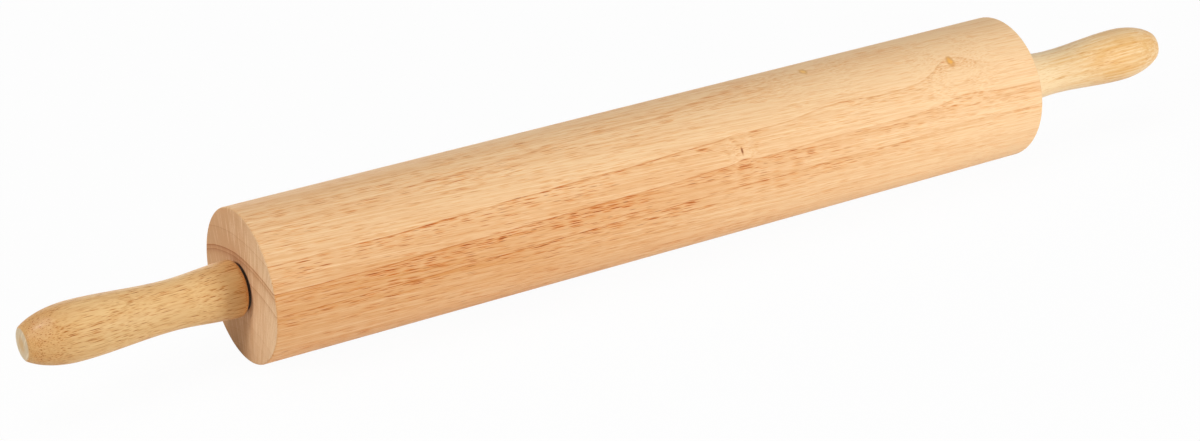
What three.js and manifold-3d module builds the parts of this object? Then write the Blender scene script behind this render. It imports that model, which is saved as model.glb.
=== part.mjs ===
// A rolling pin: a turned wooden barrel that spins on a steel axle in two shielded ball bearings,
// with a turned wooden handle glued onto each end of the axle.
// Millimetres. The axle lies along X, Z is up, and the origin is the middle of the barrel.

import * as THREE from "three";
import { mergeVertices } from "three/addons/utils/BufferGeometryUtils.js";
import Module from "manifold-3d";

const wasm = await Module();
wasm.setup();

// Barrel
const BARREL_LENGTH = 450;
const BARREL_DIAMETER = 76;
const BARREL_EDGE_RADIUS = 1.1;
const POCKET_CHAMFER = 0.5; // at the mouth of each bearing pocket
const BEARING_RECESS = 0.4; // the bearing's face lies this far inside the barrel's end
const TUNNEL_CLEARANCE = 2; // all round the axle, in the hole through the barrel

// Axle
const AXLE_DIAMETER = 8;
const AXLE_IN_HANDLE = 56;
const AXLE_CHAMFER = 0.8;
const GLUE_GROOVE_COUNT = 4; // rings cut into each end, where the glue keys the handle to the steel
const GLUE_GROOVE_PITCH = 11;
const GLUE_GROOVE_DEPTH = 0.5;

// Handle, from the flat end at the barrel to the flat tip
const HANDLE_LENGTH = 107;
const HANDLE_GAP = 1.2; // between the barrel's end and the handle
const HANDLE_END_DIAMETER = 27.6;
const HANDLE_NECK_DIAMETER = 23.9;
const HANDLE_PALM_DIAMETER = 28.6;
const HANDLE_TIP_DIAMETER = 15.4;
const HANDLE_SHOULDER_LENGTH = 4; // the straight stretch beside the barrel
const NECK_FROM_END = 35; // the thinnest place, from the handle's flat end
const PALM_FROM_TIP = 25.2; // the thickest place, from the tip
const HANDLE_END_ROUND = 3.2;
const HANDLE_TIP_ROUND = 0.8;
const HANDLE_BORE_CHAMFER = 0.6;
const GLUE_POCKET = 2; // left free below the axle in the blind bore
const DRILL_POINT_DEGREES = 118;

// Ball bearing
const BALL_DIAMETER = 3.969;
const BALL_COUNT = 7;
const INNER_RING_WALL = 1.3; // under the ball groove
const OUTER_RING_WALL = 1.38; // over the ball groove
const GROOVE_DEPTH = 0.65; // from the ring's shoulder to the bottom of the ball groove
const RING_CHAMFER = 0.3;
const RING_LIP = 0.27; // outside each shield
const RING_LIP_HEIGHT = 0.25; // what holds a shield in its groove
const SHIELD_THICKNESS = 0.3;
const SHIELD_SEAT = 0.5; // how far a shield reaches into the outer ring, beyond the shoulder
const CAGE_BACK = 0.4; // behind the balls
const CAGE_HOOK = 0.9; // how far the prongs reach past the balls' centres

// Clearances
const FIT_GAP = 0.05; // between pieces pressed, glued or clamped together
const RACE_GAP = 0.15; // between a ball and its grooves
const CAGE_POCKET_GAP = 0.25; // between a ball and its cage
const CAGE_GAP = 0.4; // between the cage and the rings' shoulders
const SHIELD_GAP = 0.25; // between a shield and what turns past it

// Facets and steps
const BARREL_FACETS = 48; // a multiple of four: the pin rests on a flat facet
const HANDLE_FACETS = 32;
const AXLE_FACETS = 16;
const BEARING_FACETS = 24;
const BALL_DETAIL = 2;
const BALL_POCKET_DETAIL = 1;
const EDGE_STEPS = 4;
const CURVE_STEPS = 5;
const GROOVE_STEPS = 4;

// Sizes that follow
const barrelRadius = BARREL_DIAMETER / 2;
const barrelEnd = BARREL_LENGTH / 2;
const axleRadius = AXLE_DIAMETER / 2;
const tunnelRadius = axleRadius + TUNNEL_CLEARANCE;
const axleEnd = barrelEnd + HANDLE_GAP + AXLE_IN_HANDLE;

const ballRadius = BALL_DIAMETER / 2;
const ringBore = axleRadius + FIT_GAP;
const grooveRadius = ballRadius + RACE_GAP;
const pitchRadius = ringBore + INNER_RING_WALL + grooveRadius;
const innerShoulder = pitchRadius - grooveRadius + GROOVE_DEPTH;
const outerShoulder = pitchRadius + grooveRadius - GROOVE_DEPTH;
const ringRadius = pitchRadius + grooveRadius + OUTER_RING_WALL;

const cageBack = ballRadius + CAGE_POCKET_GAP + CAGE_BACK;
const shieldInside = cageBack + SHIELD_GAP;
const shieldOutside = shieldInside + SHIELD_THICKNESS;
const shieldRadius = outerShoulder + SHIELD_SEAT;
const bearingHalf = shieldOutside + FIT_GAP + RING_LIP;

const pocketRadius = ringRadius + FIT_GAP;
const pocketDepth = BEARING_RECESS + 2 * bearingHalf + FIT_GAP;
const bearingCentre = -BEARING_RECESS - bearingHalf; // from the barrel's end, outwards
const spacerLength = HANDLE_GAP + BEARING_RECESS - 2 * FIT_GAP;
const handleBore = axleRadius + FIT_GAP;

// Materials
const barrelWood = new THREE.MeshStandardMaterial({ color: 0xe0b482, roughness: 0.55 });
const handleWood = new THREE.MeshStandardMaterial({ color: 0xc9995c, roughness: 0.4 });
const axleSteel = new THREE.MeshStandardMaterial({ color: 0xa8aaad, roughness: 0.35, metalness: 1 });
const bearingSteel = new THREE.MeshStandardMaterial({ color: 0xb9bbbe, roughness: 0.2, metalness: 1 });
const cageNylon = new THREE.MeshStandardMaterial({ color: 0xd9d2bd, roughness: 0.5 });

/** Radius at the corners of a faceted hole whose flats lie at the true radius, so that a shaft clears it. */
function hole(radius, facets) {
  return radius / Math.cos(Math.PI / facets);
}

/** The other end of a symmetrical outline, so that the two halves join in order. */
function mirrored(outline) {
  return outline.map(([along, radius]) => [-along, radius]).reverse();
}

/** Points [along, radius] on an ellipse's arc, clockwise, with angles in degrees from the +X direction. */
function arc(along, radius, alongReach, radiusReach, from, to, steps) {
  const angles = [from, to].map(THREE.MathUtils.degToRad);
  const curve = new THREE.EllipseCurve(along, radius, alongReach, radiusReach, ...angles, true);
  return curve.getPoints(steps).map((point) => [point.x, point.y]);
}

/** Points on a wave from one radius to another that leaves and arrives level. The start is left out. */
function wave(fromAlong, fromRadius, toAlong, toRadius, steps) {
  const third = (toAlong - fromAlong) / 3;
  const curve = new THREE.CubicBezierCurve(
    new THREE.Vector2(fromAlong, fromRadius),
    new THREE.Vector2(fromAlong + third, fromRadius),
    new THREE.Vector2(toAlong - third, toRadius),
    new THREE.Vector2(toAlong, toRadius),
  );
  return curve.getPoints(steps).slice(1).map((point) => [point.x, point.y]);
}

/** An outline of points [along, radius], clockwise, turned about X with a flat facet at the bottom. */
function turned(outline, facets) {
  const profile = outline.map(([along, radius]) => new THREE.Vector2(radius, along));
  return new THREE.LatheGeometry(profile, facets, Math.PI / facets).rotateZ(-Math.PI / 2);
}

/** A ring of revolution: the outline is closed on itself. */
function turnedRing(outline, facets) {
  return turned([...outline, outline[0]], facets);
}

/** A closed geometry as a solid that can be cut. */
function solid(geometry) {
  const bare = geometry.clone();
  bare.deleteAttribute("normal");
  bare.deleteAttribute("uv");
  const merged = mergeVertices(bare);
  const vertProperties = merged.attributes.position.array;
  const triVerts = new Uint32Array(merged.index.array);
  return new wasm.Manifold(new wasm.Mesh({ numProp: 3, vertProperties, triVerts }));
}

/** A cut solid as a geometry again. */
function geometryOf(cut) {
  const { vertProperties, triVerts } = cut.getMesh();
  const geometry = new THREE.BufferGeometry();
  geometry.setAttribute("position", new THREE.BufferAttribute(vertProperties, 3));
  geometry.setIndex(new THREE.BufferAttribute(triVerts, 1));
  geometry.computeVertexNormals();
  return geometry;
}

function part(name, geometry, material) {
  const mesh = new THREE.Mesh(geometry, material);
  mesh.name = name;
  return mesh;
}

/** The barrel, with its rounded ends, a bearing pocket in each and the tunnel between them. */
function barrel() {
  const pocket = hole(pocketRadius, BARREL_FACETS);
  const half = [
    ...arc(barrelEnd - BARREL_EDGE_RADIUS, barrelRadius - BARREL_EDGE_RADIUS,
      BARREL_EDGE_RADIUS, BARREL_EDGE_RADIUS, 90, 0, EDGE_STEPS),
    [barrelEnd, pocket + POCKET_CHAMFER],
    [barrelEnd - POCKET_CHAMFER, pocket],
    [barrelEnd - pocketDepth, pocket],
    [barrelEnd - pocketDepth, hole(tunnelRadius, BARREL_FACETS)],
  ];
  return part("barrel", turnedRing([...mirrored(half), ...half], BARREL_FACETS), barrelWood);
}

/** The axle, a plain rod with chamfered ends and glue grooves where the handles sit. */
function axle() {
  const grooves = [];
  for (let i = GLUE_GROOVE_COUNT; i > 0; i--) {
    const along = axleEnd - i * GLUE_GROOVE_PITCH;
    grooves.push(
      [along - GLUE_GROOVE_DEPTH, axleRadius],
      [along, axleRadius - GLUE_GROOVE_DEPTH],
      [along + GLUE_GROOVE_DEPTH, axleRadius],
    );
  }
  const half = [
    ...grooves,
    [axleEnd - AXLE_CHAMFER, axleRadius],
    [axleEnd, axleRadius - AXLE_CHAMFER],
    [axleEnd, 0],
  ];
  return part("axle", turned([...mirrored(half), ...half], AXLE_FACETS), axleSteel);
}

/** A handle from its flat end, at x = 0: shoulder, neck, palm swell and flat tip, with a blind bore. */
function handle(name) {
  const endRadius = HANDLE_END_DIAMETER / 2;
  const neckRadius = HANDLE_NECK_DIAMETER / 2;
  const palmRadius = HANDLE_PALM_DIAMETER / 2;
  const tipRadius = HANDLE_TIP_DIAMETER / 2;
  const palm = HANDLE_LENGTH - PALM_FROM_TIP;
  const bore = hole(handleBore, HANDLE_FACETS);
  const boreDepth = AXLE_IN_HANDLE + GLUE_POCKET;
  const drillPoint = bore / Math.tan(THREE.MathUtils.degToRad(DRILL_POINT_DEGREES / 2));
  // The swell is part of an ellipse, which the tip's flat cuts off.
  const swellReach = PALM_FROM_TIP / Math.sqrt(1 - (tipRadius / palmRadius) ** 2);
  const cutOff = THREE.MathUtils.radToDeg(Math.acos((PALM_FROM_TIP - HANDLE_TIP_ROUND) / swellReach));
  const outline = [
    [boreDepth + drillPoint, 0],
    [boreDepth, bore],
    [HANDLE_BORE_CHAMFER, bore],
    [0, bore + HANDLE_BORE_CHAMFER],
    ...arc(HANDLE_END_ROUND, endRadius - HANDLE_END_ROUND,
      HANDLE_END_ROUND, HANDLE_END_ROUND, 180, 90, EDGE_STEPS),
    [HANDLE_SHOULDER_LENGTH, endRadius],
    ...wave(HANDLE_SHOULDER_LENGTH, endRadius, NECK_FROM_END, neckRadius, CURVE_STEPS),
    ...wave(NECK_FROM_END, neckRadius, palm, palmRadius, CURVE_STEPS),
    ...arc(palm, 0, swellReach, palmRadius, 90, cutOff, CURVE_STEPS).slice(1),
    [HANDLE_LENGTH, tipRadius - HANDLE_TIP_ROUND],
    [HANDLE_LENGTH, 0],
  ];
  return part(name, turned(outline, HANDLE_FACETS), handleWood);
}

/** The spacer that keeps a handle off the barrel: it bears on the inner ring alone. */
function spacer(name) {
  const bore = hole(ringBore, BEARING_FACETS);
  const outline = [
    [0, bore],
    [0, innerShoulder - RING_CHAMFER],
    [RING_CHAMFER, innerShoulder],
    [spacerLength - RING_CHAMFER, innerShoulder],
    [spacerLength, innerShoulder - RING_CHAMFER],
    [spacerLength, bore],
  ];
  return part(name, turnedRing(outline, BEARING_FACETS), axleSteel);
}

/** The angle, in degrees, at which a ball groove meets its ring's shoulder. */
function grooveEdge() {
  return THREE.MathUtils.radToDeg(Math.acos((grooveRadius - GROOVE_DEPTH) / grooveRadius));
}

/** The inner ring, with its ball groove on the outside. */
function innerRing(name) {
  const bore = hole(ringBore, BEARING_FACETS);
  const edge = grooveEdge();
  const groove = arc(0, pitchRadius, grooveRadius, grooveRadius, -90 + edge, -90 - edge, GROOVE_STEPS);
  const outline = [
    [-bearingHalf, bore + RING_CHAMFER],
    [-bearingHalf, innerShoulder],
    ...groove.reverse(),
    [bearingHalf, innerShoulder],
    [bearingHalf, bore + RING_CHAMFER],
    [bearingHalf - RING_CHAMFER, bore],
    [-bearingHalf + RING_CHAMFER, bore],
  ];
  return part(name, turnedRing(outline, BEARING_FACETS), bearingSteel);
}

/** The outer ring, with its ball groove inside and a shield groove behind a lip at each side. */
function outerRing(name) {
  const shoulder = hole(outerShoulder, BEARING_FACETS);
  const lip = hole(shieldRadius - RING_LIP_HEIGHT, BEARING_FACETS);
  const seat = hole(shieldRadius + FIT_GAP, BEARING_FACETS);
  const edge = grooveEdge();
  const groove = arc(0, pitchRadius, grooveRadius, grooveRadius, 90 + edge, 90 - edge, GROOVE_STEPS);
  const inside = groove.map(([along, radius]) => [along, hole(radius, BEARING_FACETS)]).reverse();
  const side = [
    [bearingHalf - RING_CHAMFER, ringRadius],
    [bearingHalf, ringRadius - RING_CHAMFER],
    [bearingHalf, lip],
    [shieldOutside + FIT_GAP, lip],
    [shieldOutside + FIT_GAP, seat],
    [shieldInside - FIT_GAP, seat],
    [shieldInside - FIT_GAP, shoulder],
  ];
  const outline = [...mirrored(side), ...side, ...inside];
  return part(name, turnedRing(outline, BEARING_FACETS), bearingSteel);
}

/** A shield: a thin washer that sits in the outer ring and clears the inner one. */
function shield(name) {
  const bore = hole(innerShoulder + SHIELD_GAP, BEARING_FACETS);
  const outline = [
    [shieldInside, bore],
    [shieldInside, shieldRadius],
    [shieldOutside, shieldRadius],
    [shieldOutside, bore],
  ];
  return part(name, turnedRing(outline, BEARING_FACETS), bearingSteel);
}

const ballGeometry = new THREE.IcosahedronGeometry(ballRadius, BALL_DETAIL);

function ballAngle(i) {
  return (2 * Math.PI * i) / BALL_COUNT;
}

/** The crown cage: a ring with a round pocket for each ball, open at one side so that it snaps over them. */
function cage(name) {
  const bore = hole(innerShoulder + CAGE_GAP, BEARING_FACETS);
  const rim = outerShoulder - CAGE_GAP;
  const section = [[-cageBack, bore], [-cageBack, rim], [CAGE_HOOK, rim], [CAGE_HOOK, bore]];
  const pocket = new THREE.IcosahedronGeometry(ballRadius + CAGE_POCKET_GAP, BALL_POCKET_DETAIL);
  pocket.translate(0, 0, pitchRadius);
  let crown = solid(turnedRing(section, BEARING_FACETS));
  for (let i = 0; i < BALL_COUNT; i++) {
    crown = crown.subtract(solid(pocket.clone().rotateX(ballAngle(i))));
  }
  return part(name, geometryOf(crown), cageNylon);
}

/** A ball bearing about its own centre: rings, shields, cage and balls. */
function bearing(side) {
  const group = new THREE.Group();
  const innerShield = shield(`bearing_shield_inner_${side}`);
  innerShield.rotation.z = Math.PI;
  group.add(
    outerRing(`bearing_outer_ring_${side}`),
    innerRing(`bearing_inner_ring_${side}`),
    shield(`bearing_shield_outer_${side}`),
    innerShield,
    cage(`ball_cage_${side}`),
  );
  for (let i = 0; i < BALL_COUNT; i++) {
    const spoke = new THREE.Group();
    const ball = part(`ball_${side}_${i + 1}`, ballGeometry, bearingSteel);
    ball.position.z = pitchRadius;
    spoke.rotation.x = ballAngle(i);
    spoke.add(ball);
    group.add(spoke);
  }
  return group;
}

/** What sits at one end of the barrel, with x = 0 at the barrel's end and +X outwards. */
function endAssembly(side) {
  const group = new THREE.Group();
  const grip = handle(`handle_${side}`);
  grip.position.x = HANDLE_GAP;
  const washer = spacer(`spacer_${side}`);
  washer.position.x = -BEARING_RECESS + FIT_GAP;
  const carrier = bearing(side);
  carrier.position.x = bearingCentre;
  group.add(grip, washer, carrier);
  return group;
}

const rightEnd = endAssembly("right");
rightEnd.position.x = barrelEnd;
const leftEnd = endAssembly("left");
leftEnd.position.x = -barrelEnd;
leftEnd.rotation.z = Math.PI;

const rollingPin = new THREE.Group();
rollingPin.add(barrel(), axle(), leftEnd, rightEnd);

export default rollingPin;
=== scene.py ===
"""Looks of a wooden rolling pin: turned barrel and handles, steel axle and ball bearings.

Everything is in metres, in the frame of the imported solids: the axle lies along X, Z is up, and the origin is
the middle of the barrel. Materials work in millimetres.
"""

from __future__ import annotations

import logging
import math
from dataclasses import dataclass
from enum import Enum
from typing import Any, Sequence, Union

import bpy
import numpy as np
from mathutils import Euler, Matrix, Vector

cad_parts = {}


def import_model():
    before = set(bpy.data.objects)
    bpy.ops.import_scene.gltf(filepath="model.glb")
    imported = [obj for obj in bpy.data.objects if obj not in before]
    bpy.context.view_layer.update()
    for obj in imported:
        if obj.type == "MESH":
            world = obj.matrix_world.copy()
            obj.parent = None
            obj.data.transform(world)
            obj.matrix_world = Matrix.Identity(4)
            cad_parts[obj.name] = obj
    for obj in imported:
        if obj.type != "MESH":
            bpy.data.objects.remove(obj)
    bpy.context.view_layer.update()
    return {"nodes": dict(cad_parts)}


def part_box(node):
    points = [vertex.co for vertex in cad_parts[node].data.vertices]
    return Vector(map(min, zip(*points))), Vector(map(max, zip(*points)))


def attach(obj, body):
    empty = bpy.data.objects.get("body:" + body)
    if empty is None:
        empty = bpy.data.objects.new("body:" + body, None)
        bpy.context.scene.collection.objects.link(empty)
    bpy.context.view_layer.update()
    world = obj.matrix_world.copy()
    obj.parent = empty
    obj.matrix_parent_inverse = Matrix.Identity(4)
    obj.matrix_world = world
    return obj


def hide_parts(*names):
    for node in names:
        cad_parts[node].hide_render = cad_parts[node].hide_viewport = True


LOG = logging.getLogger("rolling_pin")
MM = 0.001
MM_PER_METRE = 1000.0
FLOOR_GAP = 0.1 * MM
ON_AXLE = 1e-9
SHARP_ANGLE = 35.0

Pair = tuple[float, float]
Point = tuple[float, float, float]
Colour = tuple[float, float, float]
WHITE: Colour = (1.0, 1.0, 1.0)


def from_srgb(red: float, green: float, blue: float) -> Colour:
    """Turns a colour as a screen shows it, 0 to 255, into linear light for a shader, by the sRGB curve."""
    shares = (value / 255.0 for value in (red, green, blue))
    return tuple(s / 12.92 if s <= 0.04045 else ((s + 0.055) / 1.055) ** 2.4 for s in shares)


def darker(colour: Colour, light: float) -> Colour:
    """A colour with only a share of its light."""
    return tuple(light * part for part in colour)


def from_top(radius: float, around: float) -> Pair:
    """Place towards the back and height of a point some degrees from the top towards the front."""
    turn = math.radians(around)
    return -radius * math.sin(turn), radius * math.cos(turn)


class Blend(Enum):
    """How one colour lies on another: it covers it, or stains it and lets less light through."""

    COVER = "MIX"
    STAIN = "MULTIPLY"


class Signal:
    """A value, colour or vector inside a material; arithmetic on values adds Math nodes."""

    def __init__(self, graph: NodeGraph, socket: bpy.types.NodeSocket) -> None:
        """Wraps one output socket of a node in the graph."""
        self.graph = graph
        self.socket = socket

    def __add__(self, other: Value) -> Signal:
        """self + other."""
        return self.graph.math("ADD", self, other)

    def __radd__(self, other: Value) -> Signal:
        """other + self."""
        return self.graph.math("ADD", other, self)

    def __sub__(self, other: Value) -> Signal:
        """self - other."""
        return self.graph.math("SUBTRACT", self, other)

    def __rsub__(self, other: Value) -> Signal:
        """other - self."""
        return self.graph.math("SUBTRACT", other, self)

    def __mul__(self, other: Value) -> Signal:
        """self * other."""
        return self.graph.math("MULTIPLY", self, other)

    def __rmul__(self, other: Value) -> Signal:
        """other * self."""
        return self.graph.math("MULTIPLY", other, self)

    def __truediv__(self, other: Value) -> Signal:
        """self / other."""
        return self.graph.math("DIVIDE", self, other)

    def __rtruediv__(self, other: Value) -> Signal:
        """other / self."""
        return self.graph.math("DIVIDE", other, self)

    def __abs__(self) -> Signal:
        """The size of self, without its sign."""
        return self.graph.math("ABSOLUTE", self)

    def twin(self, output: str) -> Signal:
        """Another output of the node that self comes from."""
        return Signal(self.graph, self.socket.node.outputs[output])

    def sqrt(self) -> Signal:
        """The square root of self."""
        return self.graph.math("SQRT", self)

    def exp(self) -> Signal:
        """e to the power of self."""
        return self.graph.math("EXPONENT", self)

    def floor(self) -> Signal:
        """The whole number at or below self."""
        return self.graph.math("FLOOR", self)

    def at_most(self, other: Value) -> Signal:
        """The smaller of self and other."""
        return self.graph.math("MINIMUM", self, other)

    def rise(self, low: float, high: float) -> Signal:
        """A smooth step of self.

        Args:
            low: Where the step is still 0.
            high: Where it has reached 1.

        Returns:
            0 below low, 1 above high, and an S-shaped rise between them.
        """
        return self.graph.node(
            "ShaderNodeMapRange",
            {"interpolation_type": "SMOOTHSTEP"},
            {"Value": self, "From Min": low, "From Max": high, "To Min": 0.0, "To Max": 1.0},
        )

    def fall(self, low: float, high: float) -> Signal:
        """A smooth step down: 1 below low and 0 above high."""
        return 1.0 - self.rise(low, high)

    def spread(self, low: float, high: float) -> Signal:
        """Self, which runs from 0 to 1, stretched to run from low to high."""
        return low + self * (high - low)

    def swing(self, amount: float) -> Signal:
        """How far a noise lies above or below its middle, times an amount."""
        return (self - 0.5) * amount


Value = Union[Signal, float]
Place = tuple[Signal, Signal, Signal]


def length_of(*parts: Signal) -> Signal:
    """The length of a vector: the square root of the sum of its parts' squares."""
    return sum(part * part for part in parts).sqrt()


class NodeGraph:
    """A node tree under construction."""

    RAMP_RUNS = {"stops": "LINEAR", "steps": "CONSTANT"}

    def __init__(self, tree: bpy.types.NodeTree) -> None:
        """Starts on an empty tree."""
        self.tree = tree
        tree.nodes.clear()

    def node(
        self,
        kind: str,
        settings: dict[str, Any] | None = None,
        inputs: dict[Any, Any] | None = None,
        output: str | int = 0,
    ) -> Signal | None:
        """Adds a node of any type.

        Args:
            kind: The node's type.
            settings: Its own settings, set first. For a colour ramp, "stops" gives (place, colour) pairs
                that it runs between, and "steps" pairs whose colour holds until the next.
            inputs: Values or signals by socket name or number.
            output: Name or number of the output that is used.

        Returns:
            That output, or None for a node that ends the tree.
        """
        made = self.tree.nodes.new(kind)
        for name, value in (settings or {}).items():
            if name in self.RAMP_RUNS:
                made.color_ramp.interpolation = self.RAMP_RUNS[name]
                self._set_stops(made.color_ramp, value)
            else:
                setattr(made, name, value)
        for key, value in (inputs or {}).items():
            self._feed(made.inputs[key], value)
        return Signal(self, made.outputs[output]) if made.outputs else None

    @staticmethod
    def _set_stops(ramp: bpy.types.ColorRamp, stops: Sequence[tuple[float, Colour]]) -> None:
        """Puts stops on a colour ramp, which starts with two.

        Args:
            ramp: A new ramp.
            stops: The place and colour of each stop.
        """
        ramp.elements.remove(ramp.elements[-1])
        for number, (place, colour) in enumerate(stops):
            element = ramp.elements.new(place) if number else ramp.elements[0]
            element.position = place
            element.color = (*colour, 1.0)

    def _feed(self, socket: bpy.types.NodeSocket, value: Any) -> None:
        """Links a signal to a socket, or sets a plain value on it.

        Args:
            socket: An input socket.
            value: A signal, number, colour or vector.
        """
        if isinstance(value, Signal):
            self.tree.links.new(value.socket, socket)
        elif socket.type == "RGBA":
            socket.default_value = (*value, 1.0)
        else:
            socket.default_value = value

    def math(self, operation: str, *values: Value) -> Signal:
        """Adds a Math node that takes the values in their order."""
        return self.node("ShaderNodeMath", {"operation": operation}, dict(enumerate(values)))

    def combine(self, x: Value, y: Value, z: Value = 0.0) -> Signal:
        """A vector of three values."""
        return self.node("ShaderNodeCombineXYZ", None, {"X": x, "Y": y, "Z": z})

    def split(self, vector: Signal) -> Place:
        """The three values of a vector or colour."""
        first = self.node("ShaderNodeSeparateXYZ", None, {0: vector}, "X")
        return first, first.twin("Y"), first.twin("Z")

    def place_in_mm(self) -> Place:
        """Finds where the surface lies in the object's frame.

        Returns:
            The place along the axle, towards the back and upwards, in millimetres.
        """
        place = self.node("ShaderNodeTexCoord", output="Object")
        scaled = self.node("ShaderNodeVectorMath", {"operation": "SCALE"}, {0: place, "Scale": MM_PER_METRE})
        return self.split(scaled)

    def noise(self, at: Signal, detail: float = 2.0) -> Signal:
        """Smooth noise from 0 to 1 with features about one unit across; detail adds finer layers."""
        return self.node("ShaderNodeTexNoise", None, {"Vector": at, "Scale": 1.0, "Detail": detail}, "Fac")

    def noise_over(self, place: Sequence[Signal], sizes: Sequence[float], detail: float = 2.0) -> Signal:
        """Smooth noise from 0 to 1 over two or three values, with features of a size along each."""
        return self.noise(self.combine(*(value / size for value, size in zip(place, sizes))), detail)

    def cells(self, at: Signal, dimensions: str) -> Signal:
        """Distance from the middle of a Voronoi cell; its twin "Color" differs from cell to cell."""
        settings = {"voronoi_dimensions": dimensions, "feature": "F1"}
        return self.node("ShaderNodeTexVoronoi", settings, {"Vector": at, "Scale": 1.0}, "Distance")

    def mix(self, share: Value, first: Any, second: Any, blend: Blend = Blend.COVER) -> Signal:
        """Lays a share of the second colour, or colour signal, on the first."""
        settings = {"data_type": "RGBA", "blend_type": blend.value}
        return self.node("ShaderNodeMix", settings, {0: share, 6: first, 7: second}, 2)

    def bump(self, height: Signal, depth: float) -> Signal:
        """A normal for a surface whose height runs from 0 to 1 over a depth in metres."""
        return self.node("ShaderNodeBump", None, {"Strength": 1.0, "Distance": depth, "Height": height})

    def surface(self, **sockets: Any) -> None:
        """Ends the tree in a Principled shader; an underscore in a name stands for a space."""
        named = {name.replace("_", " "): value for name, value in sockets.items()}
        self.end("ShaderNodeOutputMaterial", self.node("ShaderNodeBsdfPrincipled", None, named))

    def end(self, kind: str, shader: Signal) -> None:
        """Ends the tree in an output node of the kind given."""
        self.node(kind, None, {"Surface": shader})


def new_material(name: str) -> tuple[bpy.types.Material, NodeGraph]:
    """Makes an empty node material.

    Args:
        name: The material's name.

    Returns:
        The material and the graph to fill.
    """
    material = bpy.data.materials.new(name)
    material.use_nodes = True
    return material, NodeGraph(material.node_tree)


@dataclass(frozen=True)
class Ring:
    """Outer edge of a year's growth: millimetres from the pith, depth of its latewood and of its line."""

    radius: float
    latewood: float
    line: float


@dataclass(frozen=True)
class Knot:
    """A pin knot, where a twig left the trunk: rings swell outwards round it.

    Places are in millimetres and degrees; around counts from the top of the blank towards the front.
    """

    along: float
    around: float
    half_length: float
    half_width: float
    swell: float
    reach_along: float
    reach_across: float
    heart: Colour
    rim: Colour


@dataclass(frozen=True)
class WoodFigure:
    """How a blank was sawn from its log, in millimetres.

    The pith is a line beside the blank, and growth rings are tubes about it. It climbs by millimetres for
    each millimetre along. Fibres twist about the blank's own middle line, by radians for each millimetre
    along. The heart is a band of deeper rings at a radius, which runs out towards the right at its end.
    """

    pith_y: float
    pith_z: float
    climb: float
    twist: float
    blank_radius: float
    rings: tuple[Ring, ...]
    wander: float
    heart_radius: float = 0.0
    heart_end: float = 0.0
    knots: tuple[Knot, ...] = ()


@dataclass(frozen=True)
class Vessels:
    """One kind of pore: length and pitch of its cells in millimetres, girth as a share of the pitch.

    Each pore has a dark core in a wider, paler halo. Early is how far the kind is open in earlywood.
    """

    length: float
    pitch: float
    girth: float
    halo: Colour
    core: Colour
    seed: float
    early: float


@dataclass(frozen=True)
class WoodFinish:
    """Colours of a turned and sanded wood, and how strongly its grain shows.

    Stains are the light that is left where they lie. Shares of tone add up: 0 is the pale colour and 1 the
    deep one. Crowd is the share of pores in clear patches, fade the share lost by the right end, and the lean
    is painted light: how much paler an end is made for each millimetre towards the front, for the stronger
    light on the front of the end and the shade that the handle casts behind it. Polish is the coat that a
    palm leaves by the tip.
    """

    pale: Colour
    deep: Colour
    line: Colour
    end_grain: Colour
    end_ray: Colour
    end_line: Colour
    vessels: tuple[Vessels, ...]
    tone: float
    latewood: float
    streak: float
    fleck: float
    cloud: float
    fibre: float
    roughness: float
    gloss: float
    crowd: float
    drift: float = 0.0
    heart: float = 0.0
    fade: float = 0.0
    ends: float = 0.0
    lean: float = 0.0
    polish: float = 0.0
    centre: Colour | None = None


@dataclass(frozen=True)
class LogPlace:
    """Where a point of the surface lies in its piece and lay in its log, in millimetres.

    In the log: along it, out from the pith, round the pith, and the two places across the fibres.
    """

    graph: NodeGraph
    place: Place
    along: Signal
    radius: Signal
    across: Signal
    fibre_y: Signal
    fibre_z: Signal

    def cells(self, length: float, width: float, seed: float = 0.0) -> Signal:
        """The place counted in features drawn out along the fibres; a seed sets kinds apart."""
        return self.graph.combine(self.along / length + seed, self.fibre_y / width, self.fibre_z / width)


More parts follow.
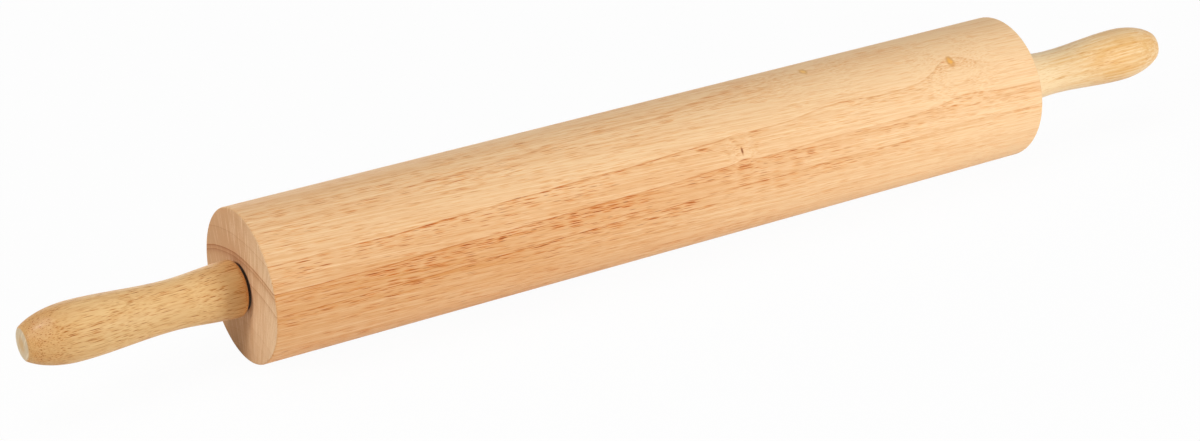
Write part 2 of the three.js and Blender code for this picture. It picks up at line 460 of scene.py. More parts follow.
@dataclass(frozen=True)
class Wood:
    """A solid wood material: the same log runs through long grain and end grain.

    Start and end are how far the piece reaches along the axle, either way from its middle. Lengths are in
    millimetres. A size is along and across, an edge is where a smooth step starts and stops, and a share is
    what is left or laid on.
    """

    name: str
    figure: WoodFigure
    finish: WoodFinish
    start: float
    end: float

    # Features of the long grain
    GRAIN_DETAIL = 3.0
    STREAK_SIZE = (130.0, 1.3)
    FLECK_SIZE = (14.0, 0.7)
    FIBRE_SIZE = (46.0, 0.36)
    CLOUD_SIZE = (110.0, 15.0)
    FADE_STRETCH = (-120.0, 225.0)
    SHOULDER_STRETCH = 26.0
    TIP_STRETCH = (34.0, 6.0)
    FIBRE_HEIGHT = 0.3
    GLOSS_SWING = 0.16

    # Wander of rings and fibres
    SLOW_SIZE = (130.0, 60.0, 60.0)
    SLOW_DETAIL = 1.0
    QUICK_SIZE = (30.0, 14.0, 14.0)
    RING_SLOW_SWAY = 3.2
    RING_QUICK_SWAY = 1.2
    FIBRE_SWAY = 1.6

    # Rings and the heart's band of them
    WIDEST_RING = 20.0
    LATEWOOD_REACH = 5.0
    LINE_EDGE = (0.15, 0.6)
    LINE_GAP_EDGE = (0.36, 0.6)
    LINE_GAP_SHARE = 0.45
    LINE_CLEAR_SHARE = 0.5
    HEART_RIM = 8.0
    HEART_HOLLOW = (42.0, 14.0)
    HEART_HOLLOW_SHARE = 0.4
    HEART_RUN_OUT = 150.0

    # Pores
    PATCH_SIZE = (46.0, 7.0)
    PATCH_EDGE = (0.34, 0.62)
    PORE_DEPTH = 0.003 * MM
    PORE_LATEWOOD = 1.5
    PORE_FADED_SHARE = 0.4
    PORE_THINNEST = 0.4
    HALO_EDGE = (0.55, 1.0)
    HALO_FAINTEST = 0.3
    CORE_EDGE = (0.3, 0.75)

    # Knots
    KNOT_RAG_SIZE = (1.3, 1.3, 1.3)
    KNOT_RAG = 0.9
    KNOT_RIM_EDGE = (0.75, 1.5)
    KNOT_RIM_SHARE = 0.8
    KNOT_HEART_EDGE = (0.3, 0.85)
    KNOT_HEART_SHARE = 0.9

    # Sawn ends
    END_SKIN = (0.5, 0.1)
    END_ROUGHER = 0.15
    END_PORE_SHARE = 0.35
    END_CLOUD_SIZE = (5.0, 40.0)
    END_CLOUD = 0.9
    SPECK_SIZE = (0.8, 0.8)
    SPECK = 0.7
    RAY_SIZE = (1.1, 30.0)
    RAY_EDGE = (0.05, 0.34)
    RAY_FAINTEST = 0.1
    BAND_SHARE = 0.85
    BAND_LINE_SHARE = 0.3
    MARK_RAG = 3.0
    MARK_EDGE = (1.0, 5.5)
    MARK_SHARE = 0.9

    # Patch that a palm polishes
    POLISH_FROM_TIP = 7.5
    POLISH_RADIUS = 11.0
    POLISH_AROUND = 36.0
    POLISH_EDGE = (3.0, 8.0)
    POLISH_ROUGHNESS = 0.26

    def material(self) -> bpy.types.Material:
        """Builds the node material.

        Returns:
            Wood whose pores, rings and knots run through the whole piece.
        """
        material, graph = new_material(self.name)
        finish = self.finish
        log = self._log_place(graph)
        fleck = graph.noise(log.cells(*self.FLECK_SIZE), self.GRAIN_DETAIL)
        fibre = graph.noise(log.cells(*self.FIBRE_SIZE), self.GRAIN_DETAIL)
        crowd = self._crowd(log)
        latewood, line = self._rings(log)

        tone = self._tone(log, latewood) + fleck.swing(finish.fleck) + fibre.swing(finish.fibre)
        colour = graph.mix(tone, finish.pale, finish.deep)
        fading = 1.0 - log.along.rise(*self.FADE_STRETCH) * finish.fade
        unbroken = fleck.rise(*self.LINE_GAP_EDGE).spread(self.LINE_GAP_SHARE, 1.0)
        unbroken = unbroken * crowd.spread(self.LINE_CLEAR_SHARE, 1.0)
        colour = graph.mix(line * fading * unbroken, colour, finish.line, Blend.STAIN)
        end_colour = self._end_grain(log, latewood, line)

        shown = crowd * fading.spread(self.PORE_FADED_SHARE, 1.0)
        hollow = 0.0
        for kind in finish.vessels:
            halo, core = self._pores(log, kind)
            opened = shown * (kind.early + latewood * self.PORE_LATEWOOD)
            colour = graph.mix((halo * opened).at_most(1.0), colour, kind.halo, Blend.STAIN)
            colour = graph.mix((core * opened * fading).at_most(1.0), colour, kind.core, Blend.STAIN)
            end_colour = graph.mix(core * self.END_PORE_SHARE, end_colour, kind.core, Blend.STAIN)
            hollow = hollow + core

        colour = self._knots(log, colour)
        end_colour = self._centre_mark(log, end_colour)
        on_end = self._near_end(log, self.END_SKIN)
        graph.surface(
            Base_Color=graph.mix(on_end, colour, end_colour),
            Roughness=finish.roughness + fleck.swing(self.GLOSS_SWING) + on_end * self.END_ROUGHER,
            Specular_IOR_Level=finish.gloss,
            Coat_Weight=self._polish(log),
            Coat_Roughness=self.POLISH_ROUGHNESS,
            Normal=graph.bump(fibre * self.FIBRE_HEIGHT - hollow, self.PORE_DEPTH),
        )
        return material

    def _log_place(self, graph: NodeGraph) -> LogPlace:
        """Finds where a point lay in the log.

        The radius is the distance from the pith line, less a wander and the swelling at each knot. The place
        across is the arc length about the pith. The fibres' places are the depth and height in the blank,
        turned back by their twist and pushed inwards at each knot.

        Args:
            graph: The material's graph.

        Returns:
            The place in the log.
        """
        figure = self.figure
        place = x, y, z = graph.place_in_mm()
        from_pith_y = y - figure.pith_y
        from_pith_z = z - figure.pith_z - x * figure.climb
        slow = graph.noise_over(place, self.SLOW_SIZE, self.SLOW_DETAIL).swing(figure.wander)
        quick = graph.noise_over(place, self.QUICK_SIZE).swing(figure.wander)
        swell = 0.0
        for knot in figure.knots:
            along, aside = self._twig(knot, place)
            apart = length_of(along / knot.reach_along, aside / knot.reach_across)
            swell = swell + (apart * apart * -1.0).exp() * knot.swell
        sway = slow * self.RING_SLOW_SWAY + quick * self.RING_QUICK_SWAY
        radius = length_of(from_pith_y, from_pith_z) - swell - sway
        across = graph.math("ARCTAN2", from_pith_y, from_pith_z) * abs(figure.pith_z)
        turn = x * figure.twist
        cosine, sine = graph.math("COSINE", turn), graph.math("SINE", turn)
        inset = 1.0 - swell / figure.blank_radius
        fibre_y = (y * cosine + z * sine) * inset + slow * self.FIBRE_SWAY
        fibre_z = (z * cosine - y * sine) * inset + slow * self.FIBRE_SWAY
        return LogPlace(graph, place, x, radius, across, fibre_y, fibre_z)

    def _twig(self, knot: Knot, place: Place) -> tuple[Signal, Signal]:
        """Distances from the line of a twig, which runs from the pith out through the knot.

        Args:
            knot: The knot.
            place: The place in the piece.

        Returns:
            The distance along the blank and the distance across the twig.
        """
        x, y, z = place
        knot_y, knot_z = from_top(self.figure.blank_radius, knot.around)
        out_y, out_z = knot_y - self.figure.pith_y, knot_z - self.figure.pith_z
        size = math.hypot(out_y, out_z)
        aside = (z - knot_z) * (out_y / size) - (y - knot_y) * (out_z / size)
        return x - knot.along, aside

    def _knots(self, log: LogPlace, colour: Signal) -> Signal:
        """Lays each knot's ragged rim and heart over a colour.

        Args:
            log: The place in the log.
            colour: The colour of the wood round the knots.

        Returns:
            The colour with knots in it.
        """
        for knot in self.figure.knots:
            along, aside = self._twig(knot, log.place)
            ragged = log.graph.noise_over(log.place, self.KNOT_RAG_SIZE).swing(self.KNOT_RAG)
            oval = length_of(along / knot.half_length, aside / knot.half_width) + ragged
            rim = oval.fall(*self.KNOT_RIM_EDGE) * self.KNOT_RIM_SHARE
            heart = oval.fall(*self.KNOT_HEART_EDGE) * self.KNOT_HEART_SHARE
            colour = log.graph.mix(heart, log.graph.mix(rim, colour, knot.rim), knot.heart)
        return colour

    def _rings(self, log: LogPlace) -> tuple[Signal, Signal]:
        """Growth rings.

        One ramp turns the radius into a ring's number, whose fraction runs from 0 to 1 across the ring.
        Another gives the look of each ring: latewood, line and width.

        Args:
            log: The place in the log.

        Returns:
            Latewood, which deepens towards a ring's outer edge, and the thin line at that edge.
        """
        graph, rings = log.graph, self.figure.rings
        low, high = rings[0].radius, rings[-1].radius
        count = float(len(rings) - 1)
        numbers = [
            ((ring.radius - low) / (high - low), (number / count,) * 3)
            for number, ring in enumerate(rings)
        ]
        looks = [
            (number / count, (ring.latewood, ring.line, (ring.radius - before.radius) / self.WIDEST_RING))
            for number, (before, ring) in enumerate(zip(rings, rings[1:]))
        ]
        share = (log.radius - low) / (high - low)
        counted = graph.node("ShaderNodeValToRGB", {"stops": numbers}, {"Fac": share})
        number = graph.split(counted)[0] * count
        whole = number.floor()
        middle = (whole + 0.5) / count
        late, dark, width = graph.split(graph.node("ShaderNodeValToRGB", {"steps": looks}, {"Fac": middle}))
        inwards = (1.0 - number + whole) * width * self.WIDEST_RING
        latewood = (inwards / -self.LATEWOOD_REACH).exp() * late
        return latewood, inwards.fall(*self.LINE_EDGE) * dark

    def _tone(self, log: LogPlace, latewood: Signal) -> Signal:
        """How deep the wood's colour is before its fine grain.

        Latewood and the heart's band of rings deepen it, long streaks and clouds vary it, it drifts along
        the blank, and it changes towards both ends.

        Args:
            log: The place in the log.
            latewood: The rings' latewood.

        Returns:
            A share from the pale to the deep colour.
        """
        figure, finish = self.figure, self.finish
        streak = log.graph.noise(log.cells(*self.STREAK_SIZE), self.GRAIN_DETAIL)
        cloud = log.graph.noise(log.cells(*self.CLOUD_SIZE), self.GRAIN_DETAIL)
        from_heart = log.radius - figure.heart_radius
        deepest, shallowest = self.HEART_HOLLOW
        outside = from_heart.rise(-self.HEART_RIM, self.HEART_RIM)
        inside = from_heart.fall(-deepest, -shallowest)
        running_out = (log.along - figure.heart_end).fall(-self.HEART_RUN_OUT, self.HEART_RUN_OUT)
        heart = (1.0 - outside - inside * self.HEART_HOLLOW_SHARE) * finish.heart * running_out
        # Change of tone by the ends; on the near handle this deepening is partly painted shade, the barrel's
        # shade on the inner end and the darker top of the tip, and partly deeper wood there.
        near_start = abs(log.along).fall(self.start, self.start + self.SHOULDER_STRETCH)
        ends = (near_start + self._near_end(log, self.TIP_STRETCH)) * finish.ends
        # On the barrel the drift is partly painted light: its right end is made paler for the stronger light
        # that falls there, and partly the wood's own change of tone.
        tone = finish.tone + latewood * finish.latewood + heart - log.along * finish.drift + ends
        return tone + streak.swing(finish.streak) + cloud.swing(finish.cloud)

    def _near_end(self, log: LogPlace, depths: Pair) -> Signal:
        """0 where the outer end is further off than the first depth, and 1 nearer to it than the second."""
        return abs(log.along).rise(self.end - depths[0], self.end - depths[1])

    def _crowd(self, log: LogPlace) -> Signal:
        """How crowded the pores are, from the finish's share in clear patches to 1."""
        patches = log.graph.noise(log.cells(*self.PATCH_SIZE))
        return patches.rise(*self.PATCH_EDGE).spread(self.finish.crowd, 1.0)

    def _pores(self, log: LogPlace, kind: Vessels) -> tuple[Signal, Signal]:
        """Pores of one kind.

        Each Voronoi cell holds one spindle, thickest in the cell's middle. Long grain cuts it open as a dash
        and end grain as a dot. Girth and depth differ from cell to cell.

        Args:
            log: The place in the log.
            kind: The kind of pore.

        Returns:
            The halos and the cores: 1 in the deepest pores and 0 between pores.
        """
        distance = log.graph.cells(log.cells(kind.length, kind.pitch, kind.seed), "3D")
        size, depth, _ = log.graph.split(distance.twin("Color"))
        reach = distance / (size.spread(self.PORE_THINNEST, 1.0) * kind.girth)
        halo = reach.fall(*self.HALO_EDGE) * depth.spread(self.HALO_FAINTEST, 1.0)
        return halo, reach.fall(*self.CORE_EDGE) * depth

    def _polish(self, log: LogPlace) -> Value:
        """Polish that a palm leaves by the tip: a soft round patch, for a finish that has one.

        Args:
            log: The place in the log.

        Returns:
            The patch's coat, strongest in its middle.
        """
        if not self.finish.polish:
            return 0.0
        x, y, z = log.place
        patch_y, patch_z = from_top(self.POLISH_RADIUS, self.POLISH_AROUND)
        along = abs(x) - (self.end - self.POLISH_FROM_TIP)
        return length_of(along, y - patch_y, z - patch_z).fall(*self.POLISH_EDGE) * self.finish.polish

    def _end_grain(self, log: LogPlace, latewood: Signal, line: Signal) -> Signal:
        """Colour of a sawn end: soft ring bands, crossed by thin paler rays that run out from the pith.

        Each ray is the long middle of a flat Voronoi cell that is drawn out along the radius.

        Args:
            log: The place in the log.
            latewood: The rings' latewood, which stains a soft band inside each line.
            line: The rings' lines.

        Returns:
            The colour of end grain.
        """
        graph, finish = log.graph, self.finish
        section = (log.across, log.radius)
        pitch, length = self.RAY_SIZE
        ray = graph.cells(graph.combine(log.across / pitch, log.radius / length), "2D").fall(*self.RAY_EDGE)
        speck = graph.noise_over(section, self.SPECK_SIZE).swing(self.SPECK)
        cloud = graph.noise_over(section, self.END_CLOUD_SIZE).swing(self.END_CLOUD)
        # Painted light: the end is made paler towards the front, for the stronger light there and the shade
        # that the handle casts on its back.
        tone = ray.spread(self.RAY_FAINTEST, 1.0) + speck + cloud - log.place[1] * finish.lean
        colour = graph.mix(tone, finish.end_grain, finish.end_ray)
        band = latewood * latewood * latewood * self.BAND_SHARE + line * self.BAND_LINE_SHARE
        return graph.mix(band.at_most(1.0), colour, finish.end_line, Blend.STAIN)

    def _centre_mark(self, log: LogPlace, colour: Signal) -> Signal:
        """Lays the small mark that a lathe centre leaves over the colour of an end.

        Args:
            log: The place in the log.
            colour: The colour of the end.

        Returns:
            The colour with the mark, for a finish that has one.
        """
        if self.finish.centre is None:
            return colour
        graph = log.graph
        ragged = graph.noise(graph.combine(*log.place)).swing(self.MARK_RAG)
        reach = length_of(*log.place[1:]) + ragged
        return graph.mix(reach.fall(*self.MARK_EDGE) * self.MARK_SHARE, colour, self.finish.centre)


@dataclass(frozen=True)
class MetalFinish:
    """A bright or brushed metal, or a dull dark non-metal whose colour is painted shade for parts seen only in
    a shaded gap; bare is how metallic it is.
    """

    name: str
    colour: Colour
    roughness: float
    grain: float
    bare: float = 1.0

    MARK_SIZE = (0.15, 4.0, 4.0)
    CLOUD_SIZE = (6.0, 6.0, 6.0)
    CLOUD_SHARE = 0.3
    CLOUD_LIGHT = 0.7

    def material(self) -> bpy.types.Material:
        """Builds the node material: fine turning marks vary the gloss.

        Returns:
            The metal.
        """
        material, graph = new_material(self.name)
        place = graph.place_in_mm()
        cloud = graph.noise_over(place, self.CLOUD_SIZE) * self.CLOUD_SHARE
        graph.surface(
            Base_Color=graph.mix(cloud, self.colour, darker(self.colour, self.CLOUD_LIGHT)),
            Metallic=self.bare,
            Roughness=self.roughness + graph.noise_over(place, self.MARK_SIZE).swing(self.grain),
        )
        return material


@dataclass(frozen=True)
class NylonFinish:
    """A moulded nylon."""

    name: str
    colour: Colour
    roughness: float

    CLOUD_SIZE = (2.0, 2.0, 2.0)
    CLOUD_DETAIL = 3.0
    CLOUD_SHARE = 0.4
    CLOUD_LIGHT = 0.8
    GLOSS_SWING = 0.2

    def material(self) -> bpy.types.Material:
        """Builds the node material: a faint cloudiness in colour and gloss.

        Returns:
            The nylon.
        """
        material, graph = new_material(self.name)
        cloud = graph.noise_over(graph.place_in_mm(), self.CLOUD_SIZE, self.CLOUD_DETAIL)
        shade = darker(self.colour, self.CLOUD_LIGHT)
        graph.surface(
            Base_Color=graph.mix(cloud * self.CLOUD_SHARE, self.colour, shade),
            Roughness=self.roughness + cloud.swing(self.GLOSS_SWING),
        )
        return material


class Side(Enum):
    """An end of the pin; the value is its direction along X."""

    LEFT = -1
    RIGHT = 1

    @property
    def word(self) -> str:
        """The side's word in node names."""
        return self.name.lower()


def arc(centre: Pair, reach: Pair, start: float, stop: float, count: int) -> np.ndarray:
    """Points on an ellipse's arc.

    A point at angle a lies at the centre plus the reaches times (cos a, sin a).

    Args:
        centre: Place along the axle and radius of the centre.
        reach: Half axes along the axle and outwards.
        start: First angle in degrees, from the axle's direction.
        stop: Last angle.
        count: How many points.

    Returns:
        An array of (along, radius) rows.
    """
    angles = np.radians(np.linspace(start, stop, count))
    return np.column_stack((centre[0] + reach[0] * np.cos(angles), centre[1] + reach[1] * np.sin(angles)))


def wave(first: Pair, last: Pair, count: int) -> np.ndarray:
    """Points on a curve that leaves one point level and reaches another level.

    The radius follows 3 t^2 - 2 t^3 of the way from the first point to the last.

    Args:
        first: Place along the axle and radius where it starts.
        last: Where it ends.
        count: How many points.

    Returns:
        An array of (along, radius) rows.
    """
    share = np.linspace(0.0, 1.0, count)
    rise = share * share * (3.0 - 2.0 * share)
    return np.column_stack((first[0] + (last[0] - first[0]) * share, first[1] + (last[1] - first[1]) * rise))


def mirrored(outline: np.ndarray) -> np.ndarray:
    """The outline at the other end of the pin, in the order that keeps its faces outwards."""
    return outline[::-1] * (-1.0, 1.0)


def put(name: str, data: bpy.types.ID) -> bpy.types.Object:
    """Makes an object and links it to the scene.

    Args:
        name: The object's name.
        data: Its mesh, lamp or camera.

    Returns:
        The object.
    """
    made = bpy.data.objects.new(name, data)
    bpy.context.scene.collection.objects.link(made)
    return made


def facing(direction: Sequence[float]) -> Euler:
    """The turn that points a lamp or camera in a direction."""
    return Vector(direction).to_track_quat("-Z", "Y").to_euler()


def dress(piece: bpy.types.Object, material: bpy.types.Material) -> None:
    """Gives a piece one material in place of any that it has."""
    piece.data.materials.clear()
    piece.data.materials.append(material)


def revolve(name: str, outline: np.ndarray, facets: int) -> bpy.types.Object:
    """Turns an outline about the axle.

    The grid has one row for each outline point and one column for each facet: the point (along, r) at turn a
    lies at (along, -r sin a, r cos a). Points on the axle become single poles, and an outline that starts
    and ends off the axle is closed on itself.

    Args:
        name: The new object's name.
        outline: (along, radius) rows, clockwise with the radius upwards, so that faces point outwards.
        facets: Columns round the axle.

    Returns:
        The object, linked to the scene and shaded smooth but for sharp edges.
    """
    poles = outline[:, 1] < ON_AXLE
    columns = np.arange(facets)
    points_in_row = np.where(poles, 1, facets)
    turn = 2.0 * np.pi * columns / facets
    along, radius = outline[:, :1], outline[:, 1:]
    grid = np.stack((along + 0.0 * turn, -radius * np.sin(turn), radius * np.cos(turn)), -1)
    points = grid[columns < points_in_row[:, None]]
    first = np.cumsum(points_in_row) - points_in_row
    index = first[:, None] + np.where(poles[:, None], 0, columns)
    if not poles.any():
        index = np.vstack((index, index[:1]))
        poles = np.append(poles, False)
    near, far = index[:-1], index[1:]
    quads = np.stack((near, np.roll(near, -1, 1), np.roll(far, -1, 1), far), -1)
    from_pole, to_pole = poles[:-1], poles[1:]
    faces = quads[~(from_pole | to_pole)].reshape(-1, 4).tolist()
    faces += quads[from_pole][..., (0, 2, 3)].reshape(-1, 3).tolist()
    faces += quads[to_pole][..., (0, 1, 2)].reshape(-1, 3).tolist()
    mesh = bpy.data.meshes.new(name)
    mesh.from_pydata(points.tolist(), [], faces)
    mesh.shade_smooth()
    mesh.set_sharp_from_angle(angle=math.radians(SHARP_ANGLE))
    return put(name, mesh)


@dataclass
class Barrel:
    """The turned roller, with a bearing pocket in each end and a tunnel for the axle."""

    half_length: float
    radius: float
    edge: float = 1.1 * MM
    pocket_radius: float = 11.07 * MM
    pocket_depth: float = 7.46 * MM
    pocket_chamfer: float = 0.5 * MM
    tunnel_radius: float = 6.0 * MM
    facets: int = 256
    side_points: int = 60
    edge_points: int = 14
    face_points: int = 17

    PACKED_FLATS = 48

    @classmethod
    def from_frame(cls) -> Barrel:
        """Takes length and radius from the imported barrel, which has flats and rests on one.

        Returns:
            A round barrel of the same size.
        """
        low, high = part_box("barrel")
        radius = high.z / math.cos(math.pi / cls.PACKED_FLATS)
        return cls(half_length=(high.x - low.x) / 2.0, radius=radius)

    def outline(self) -> np.ndarray:
        """Draws the section, clockwise from the left end of the tunnel.

        Returns:
            (along, radius) rows.
        """
        end, edge = self.half_length, self.edge
        side, mouth = end - edge, self.pocket_radius + self.pocket_chamfer
        half = np.vstack((
            np.linspace((0.0, self.radius), (side, self.radius), self.side_points),
            arc((side, self.radius - edge), (edge, edge), 90.0, 0.0, self.edge_points)[1:],
            np.linspace((end, self.radius - edge), (end, mouth), self.face_points)[1:],
            [
                (end - self.pocket_chamfer, self.pocket_radius),
                (end - self.pocket_depth, self.pocket_radius),
                (end - self.pocket_depth, self.tunnel_radius),
            ],
        ))
        return np.vstack((mirrored(half)[:-1], half))

    def build(self) -> bpy.types.Object:
        """Makes the barrel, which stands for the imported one.

        Returns:
            The barrel.
        """
        piece = revolve("barrel_wood", self.outline(), self.facets)
        wood = Wood("barrel_wood", BARREL_FIGURE, BARREL_FINISH, 0.0, self.half_length * MM_PER_METRE)
        dress(piece, wood.material())
        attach(piece, "roller")
        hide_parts("barrel")
        return piece


@dataclass
class Handle:
    """A turned handle: shoulder, neck, palm swell and flat tip, with a blind bore for the axle."""

    side: Side
    inner: float
    outer: float
    end_radius: float = 13.8 * MM
    neck_radius: float = 11.95 * MM
    palm_radius: float = 14.3 * MM
    tip_radius: float = 7.7 * MM
    shoulder: float = 4.0 * MM
    neck_from_end: float = 35.0 * MM
    palm_from_tip: float = 25.2 * MM
    end_round: float = 3.2 * MM
    tip_round: float = 0.8 * MM
    bore_radius: float = 4.05 * MM
    bore_depth: float = 58.0 * MM
    bore_chamfer: float = 0.6 * MM
    drill_point: float = 2.4 * MM
    facets: int = 128
    end_points: int = 12
    neck_points: int = 24
    palm_points: int = 32
    swell_points: int = 28
    tip_points: int = 8

    TIP_CORNER = (0.25, 0.62)

    @classmethod
    def from_frame(cls, side: Side) -> Handle:
        """Takes the handle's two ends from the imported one.

        Args:
            side: The end of the pin that it is on.

        Returns:
            A handle that reaches as far.
        """
        low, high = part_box(f"handle_{side.word}")
        inner, outer = sorted((abs(low.x), abs(high.x)))
        return cls(side=side, inner=inner, outer=outer)

    def outline(self) -> np.ndarray:
        """Draws the section from the bore's drilled point round to the middle of the tip, outwards along +X.

        The palm runs into the tip along an ellipse that would reach the tip's radius at the tip. One point
        halfway round takes off the tip's corner.

        Returns:
            (along, radius) rows.
        """
        length = self.outer - self.inner
        palm = length - self.palm_from_tip
        swell = self.palm_from_tip / math.sqrt(1.0 - (self.tip_radius / self.palm_radius) ** 2)
        cut = math.degrees(math.acos((self.palm_from_tip - self.tip_round) / swell))
        flat = self.tip_radius - self.tip_round
        corner_in, corner_out = (share * self.tip_round for share in self.TIP_CORNER)
        end_centre = (self.end_round, self.end_radius - self.end_round)
        neck = (self.neck_from_end, self.neck_radius)
        rows = np.vstack((
            [
                (self.bore_depth + self.drill_point, 0.0),
                (self.bore_depth, self.bore_radius),
                (self.bore_chamfer, self.bore_radius),
                (0.0, self.bore_radius + self.bore_chamfer),
            ],
            arc(end_centre, (self.end_round, self.end_round), 180.0, 90.0, self.end_points),
            wave((self.shoulder, self.end_radius), neck, self.neck_points),
            wave(neck, (palm, self.palm_radius), self.palm_points)[1:],
            arc((palm, 0.0), (swell, self.palm_radius), 90.0, cut, self.swell_points)[1:],
            [(length - corner_in, flat + corner_out)],
            np.linspace((length, flat), (length, 0.0), self.tip_points),
        ))
        return rows + (self.inner, 0.0)

    def build(self) -> bpy.types.Object:
        """Makes the handle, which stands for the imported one.

        Returns:
            The handle.
        """
        word = self.side.word
        outline = self.outline() if self.side is Side.RIGHT else mirrored(self.outline())
        piece = revolve(f"handle_wood_{word}", outline, self.facets)
        self._dress(piece)
        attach(piece, "grip")
        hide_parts(f"handle_{word}")
        return piece

    def _dress(self, piece: bpy.types.Object) -> None:
        """Gives the handle its own wood, named like the piece.

        Args:
            piece: The handle.
        """
        figure, finish = HANDLE_FIGURES[self.side], HANDLE_FINISHES[self.side]
        wood = Wood(piece.name, figure, finish, self.inner * MM_PER_METRE, self.outer * MM_PER_METRE)
        dress(piece, wood.material())


@dataclass
class Metalwork:
    """The axle, spacers and bearings inside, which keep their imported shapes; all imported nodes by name."""

    nodes: dict[str, bpy.types.Object]

    def build(self) -> list[bpy.types.Object]:
        """Dresses each node by how its name starts.

        Returns:
            The dressed nodes.
        """
        materials = {finish: finish.material() for finish in dict.fromkeys(INSIDE_FINISHES.values())}
        dressed = []
        for start, finish in INSIDE_FINISHES.items():
            for name, node in self.nodes.items():
                if name.startswith(start):
                    dress(node, materials[finish])
                    dressed.append(node)
        return dressed


@dataclass(frozen=True)
class Lamp:
    """A square soft box that faces the middle of the pin: its width in metres and its power in watts."""

    name: str
    place: Point
    width: float
    power: float

    def build(self) -> None:
        """Hangs the lamp."""
        data = bpy.data.lights.new(self.name, "AREA")
        data.size = self.width
        data.energy = self.power
        lamp = put(self.name, data)
        lamp.location = self.place
        lamp.rotation_euler = facing(-Vector(self.place))


@dataclass
class Studio:
    """Camera, floor and soft light."""

    floor_level: float
    camera_place: Point = (-0.71807, -1.11087, 0.61604)
    camera_aim: Point = (0.475212, 0.764708, -0.435196)
    sensor: float = 36.0
    lens: float = 86.983
    floor_size: float = 12.0
    floor_colour: Colour = (0.86, 0.86, 0.86)
    floor_glow: float = 0.96
    sky_light: float = 0.2
    lamps: tuple[Lamp, ...] = (
        Lamp("front", (1.0, -1.3, 0.9), width=1.0, power=7.0),
        Lamp("low", (0.55, -1.25, 0.2), width=0.4, power=7.9),
        Lamp("left", (-1.5, -0.25, 0.8), width=0.3, power=8.4),
        Lamp("top", (0.0, 0.3, 1.6), width=1.0, power=6.1),
        Lamp("tip", (-0.8, 0.05, 1.42), width=0.28, power=1.5),
        Lamp("back", (0.3, 1.6, 0.1), width=0.6, power=3.0),
    )

    def build(self) -> None:
        """Sets the whole stage."""
        bpy.context.scene.view_settings.view_transform = "Standard"
        self._camera()
        self._floor()
        self._world()
        for lamp in self.lamps:
            lamp.build()

    def _camera(self) -> None:
        """A long lens at the viewing angle of the photograph."""
        data = bpy.data.cameras.new("camera")
        data.sensor_width = self.sensor
        data.lens = self.lens
        camera = put("camera", data)
        camera.location = self.camera_place
        camera.rotation_euler = facing(self.camera_aim)
        bpy.context.scene.camera = camera

    def _floor(self) -> None:
        """A pale floor that looks white to the camera and keeps a soft shadow."""
        half = self.floor_size / 2.0
        mesh = bpy.data.meshes.new("floor")
        corners = [(-half, -half), (half, -half), (half, half), (-half, half)]
        mesh.from_pydata([(x, y, self.floor_level) for x, y in corners], [], [(0, 1, 2, 3)])
        floor = put("floor", mesh)
        material, graph = new_material("floor")
        glow = self._seen(graph) * self.floor_glow
        pale = graph.node("ShaderNodeBsdfDiffuse", None, {"Color": self.floor_colour})
        white = graph.node("ShaderNodeEmission", None, {"Color": WHITE, "Strength": 1.0})
        shader = graph.node("ShaderNodeMixShader", None, {0: glow, 1: pale, 2: white})
        graph.end("ShaderNodeOutputMaterial", shader)
        dress(floor, material)

    @staticmethod
    def _seen(graph: NodeGraph) -> Signal:
        """1 where a camera, mirror or glass ray looks, and 0 for light itself."""
        camera = graph.node("ShaderNodeLightPath", output="Is Camera Ray")
        return (camera + camera.twin("Is Glossy Ray") + camera.twin("Is Transmission Ray")).at_most(1.0)

    def _world(self) -> None:
        """Even light from all round, behind a background that looks white."""
        world = bpy.data.worlds.new("studio")
        bpy.context.scene.world = world
        world.use_nodes = True
        graph = NodeGraph(world.node_tree)
        seen = self._seen(graph)
        light = graph.node("ShaderNodeBackground", None, {"Color": WHITE, "Strength": self.sky_light})
        white = graph.node("ShaderNodeBackground", None, {"Color": WHITE, "Strength": 1.0})
        shader = graph.node("ShaderNodeMixShader", None, {0: seen, 1: light, 2: white})
        graph.end("ShaderNodeOutputWorld", shader)


BARREL_FIGURE = WoodFigure(
    pith_y=-6.0,
    pith_z=-79.0,
    climb=4.0 / 450.0,
    twist=0.0013,
    blank_radius=38.0,
    rings=(
        Ring(36.0, 0.0, 0.0),
        Ring(44.0, 0.35, 0.3),
        Ring(50.5, 0.35, 0.3),
        Ring(57.5, 0.4, 0.35),
        Ring(64.0, 0.45, 0.4),
        Ring(71.0, 0.3, 0.25),
        Ring(79.0, 0.35, 0.25),
        Ring(87.3, 0.8, 0.9),
        Ring(95.3, 1.0, 0.55),
        Ring(97.1, 1.0, 0.8),
        Ring(106.7, 0.55, 0.85),
        Ring(112.8, 0.1, 0.15),
        Ring(116.5, 0.3, 0.3),
        Ring(121.0, 0.3, 0.3),
        Ring(126.0, 0.2, 0.2),
    ),
    wander=0.8,
    heart_radius=103.0,
    heart_end=60.0,
    knots=(
        Knot(
            along=175.0, around=31.3, half_length=2.0, half_width=2.8, swell=5.0, reach_along=17.0,
            reach_across=16.0, heart=from_srgb(246, 184, 92), rim=from_srgb(220, 156, 88)),
        Knot(
            along=94.0, around=1.6, half_length=1.9, half_width=2.6, swell=3.5, reach_along=22.0,
            reach_across=24.0, heart=from_srgb(250, 200, 120), rim=from_srgb(224, 166, 98)),
        Knot(
            along=35.3, around=58.9, half_length=0.6, half_width=1.3, swell=1.4, reach_along=7.0,
            reach_across=7.0, heart=from_srgb(120, 62, 30), rim=from_srgb(206, 134, 80)),
    ),
)

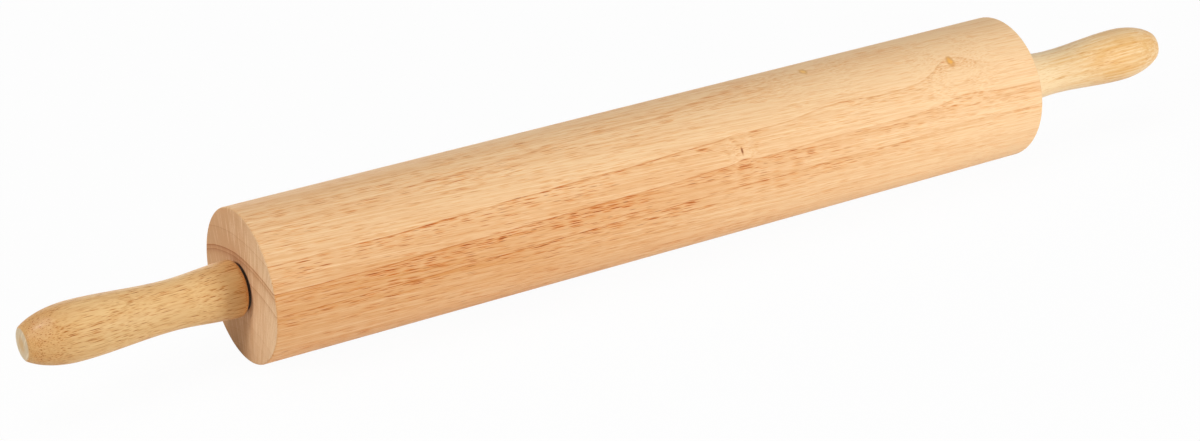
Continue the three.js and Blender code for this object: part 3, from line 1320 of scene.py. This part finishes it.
BARREL_FINISH = WoodFinish(
    pale=from_srgb(250, 213, 166),
    deep=from_srgb(225, 160, 96),
    line=(0.78, 0.46, 0.2),
    end_grain=from_srgb(222, 173, 127),
    end_ray=from_srgb(246, 210, 168),
    end_line=(0.66, 0.45, 0.33),
    vessels=(
        Vessels(
            length=10.0, pitch=0.46, girth=0.56, seed=0.3, early=0.5,
            halo=(0.95, 0.72, 0.46), core=(0.86, 0.52, 0.2)),
        Vessels(
            length=11.0, pitch=0.58, girth=0.55, seed=7.7, early=0.52,
            halo=(0.86, 0.52, 0.22), core=(0.55, 0.2, 0.02)),
        Vessels(
            length=10.5, pitch=0.8, girth=0.42, seed=3.6, early=0.06,
            halo=(0.74, 0.36, 0.1), core=(0.32, 0.08, 0.01)),
    ),
    tone=0.15, latewood=0.28, streak=0.9, fleck=0.45, cloud=0.4, fibre=1.2,
    # The drift makes the barrel paler towards its right end: partly painted light for the stronger light
    # there, partly the wood's own tone.
    roughness=0.55, gloss=0.12, crowd=0.4, drift=0.0006,
    # The end's lean is painted light: the end is paler towards the front, where more light falls.
    heart=0.36, fade=0.75, lean=0.018,
)

HANDLE_RINGS = tuple(Ring(20.0 + 7.0 * number, 0.3, 0.12) for number in range(12))

HANDLE_PITHS = {Side.LEFT: (22.0, -30.0), Side.RIGHT: (-18.0, -70.0)}

HANDLE_FIGURES = {
    side: WoodFigure(*pith, climb=0.02, twist=0.0, blank_radius=15.0, rings=HANDLE_RINGS, wander=1.0)
    for side, pith in HANDLE_PITHS.items()
}

HANDLE_FINISHES = {
    Side.LEFT: WoodFinish(
        pale=from_srgb(243, 207, 149),
        deep=from_srgb(214, 154, 88),
        line=(0.6, 0.4, 0.28),
        end_grain=from_srgb(218, 194, 158),
        end_ray=from_srgb(238, 216, 182),
        end_line=(0.8, 0.7, 0.6),
        vessels=(
            Vessels(
                length=9.0, pitch=0.4, girth=0.52, seed=0.3, early=0.6,
                halo=(0.84, 0.54, 0.24), core=(0.62, 0.28, 0.08)),
            Vessels(
                length=12.0, pitch=0.52, girth=0.52, seed=5.1, early=0.65,
                halo=(0.72, 0.42, 0.14), core=(0.5, 0.2, 0.04)),
        ),
        tone=0.26, latewood=0.3, streak=0.5, fleck=0.4, cloud=0.5, fibre=0.8,
        roughness=0.45, gloss=0.12, crowd=0.9,
        # The ends deepen this handle's tone: partly painted shade, for the barrel's shade by the inner end and
        # the darker top of the tip, and partly deeper wood there.
        ends=0.35, polish=1.0, centre=from_srgb(216, 176, 122),
    ),
    Side.RIGHT: WoodFinish(
        pale=from_srgb(248, 220, 174),
        deep=from_srgb(231, 179, 108),
        line=(0.8, 0.6, 0.4),
        end_grain=from_srgb(216, 198, 168),
        end_ray=from_srgb(226, 208, 178),
        end_line=(0.8, 0.7, 0.6),
        vessels=(
            Vessels(
                length=7.0, pitch=0.42, girth=0.55, seed=0.3, early=0.42,
                halo=(0.92, 0.8, 0.58), core=(0.84, 0.66, 0.4)),
            Vessels(
                length=9.0, pitch=0.56, girth=0.55, seed=5.1, early=0.42,
                halo=(0.88, 0.68, 0.4), core=(0.72, 0.46, 0.18)),
        ),
        tone=-3.02, latewood=0.4, streak=2.0, fleck=0.5, cloud=1.1, fibre=0.8,
        roughness=0.4, gloss=0.3, crowd=0.35, drift=-0.012,
        ends=-0.45, centre=from_srgb(216, 176, 122),
    ),
}

DRAWN_STEEL = MetalFinish("drawn_steel", from_srgb(168, 170, 173), roughness=0.34, grain=0.16)
# Painted shade: the spacers, shields and outer rings seen through the slot by each handle get a dull
# grey-brown non-metal, so that the slot shows as shade rather than as glinting steel.
GAP_SHADE_STEEL = MetalFinish("steel_dulled_for_gap_shade", from_srgb(128, 120, 108), roughness=0.75, grain=0.2, bare=0.0)
BEARING_STEEL = MetalFinish("bearing_steel", from_srgb(190, 192, 195), roughness=0.2, grain=0.08)
CAGE_NYLON = NylonFinish("cage_nylon", from_srgb(217, 210, 189), roughness=0.5)

INSIDE_FINISHES = {
    "axle": DRAWN_STEEL,
    "spacer": GAP_SHADE_STEEL,
    "bearing_shield": GAP_SHADE_STEEL,
    "bearing_outer": GAP_SHADE_STEEL,
    "bearing_inner": BEARING_STEEL,
    "ball_cage": CAGE_NYLON,
    "ball_left": BEARING_STEEL,
    "ball_right": BEARING_STEEL,
}


def main() -> None:
    """Builds the pin and its stage."""
    logging.basicConfig(level=logging.INFO, format="%(name)s: %(message)s")
    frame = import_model()
    barrel = Barrel.from_frame()
    LOG.info("built %s", barrel.build().name)
    for side in Side:
        LOG.info("built %s", Handle.from_frame(side).build().name)
    for node in Metalwork(frame["nodes"]).build():
        LOG.info("dressed %s", node.name)
    Studio(floor_level=-barrel.radius - FLOOR_GAP).build()


if __name__ == "__main__":
    main()
